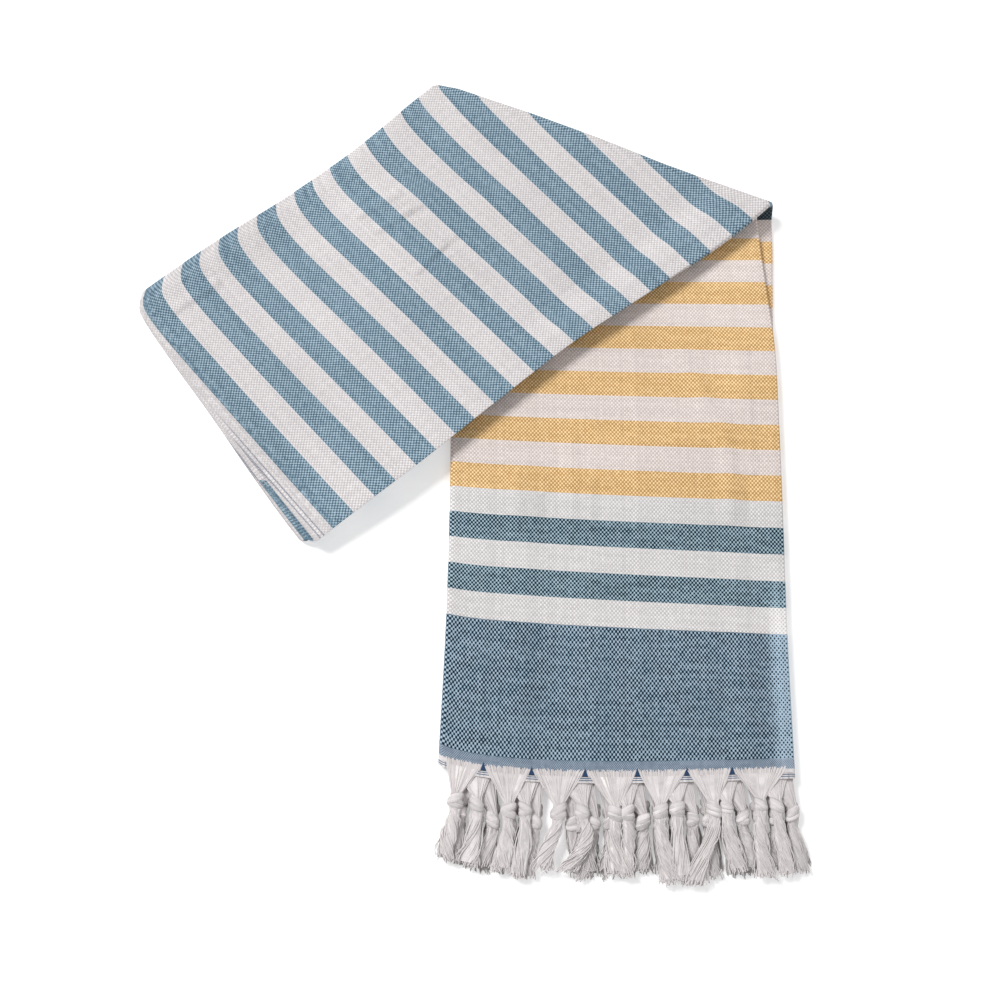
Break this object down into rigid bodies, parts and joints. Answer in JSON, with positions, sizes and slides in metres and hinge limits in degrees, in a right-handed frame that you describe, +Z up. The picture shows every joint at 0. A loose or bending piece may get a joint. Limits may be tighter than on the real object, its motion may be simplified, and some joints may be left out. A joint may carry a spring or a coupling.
{
  "type": "folded hammam towel",
  "caption": "Flat-woven striped cotton hammam towel with knotted fringes, folded into a strip and laid in an inverted V, with one arm over the other.",
  "frame": {"origin": "on the surface that the towel lies on, under the centre of its bounding box", "axes": "+Z up from the surface; +Y along the lower arm, from its fringe towards the slanting crease; +X across it, towards its side folds"},
  "size_m": [0.5083, 0.6378, 0.0249],
  "materials": {
    "striped_cotton": "flat-woven cotton in blue, off-white and yellow cross stripes with a dotted weave",
    "fringe_yarn": "off-white cotton yarn, knotted into tassels"
  },
  "bodies": {
    "root": {"towel": "striped_cotton", "fringe_first_end": "fringe_yarn", "fringe_second_end": "fringe_yarn"}
  },
  "joints": []
}
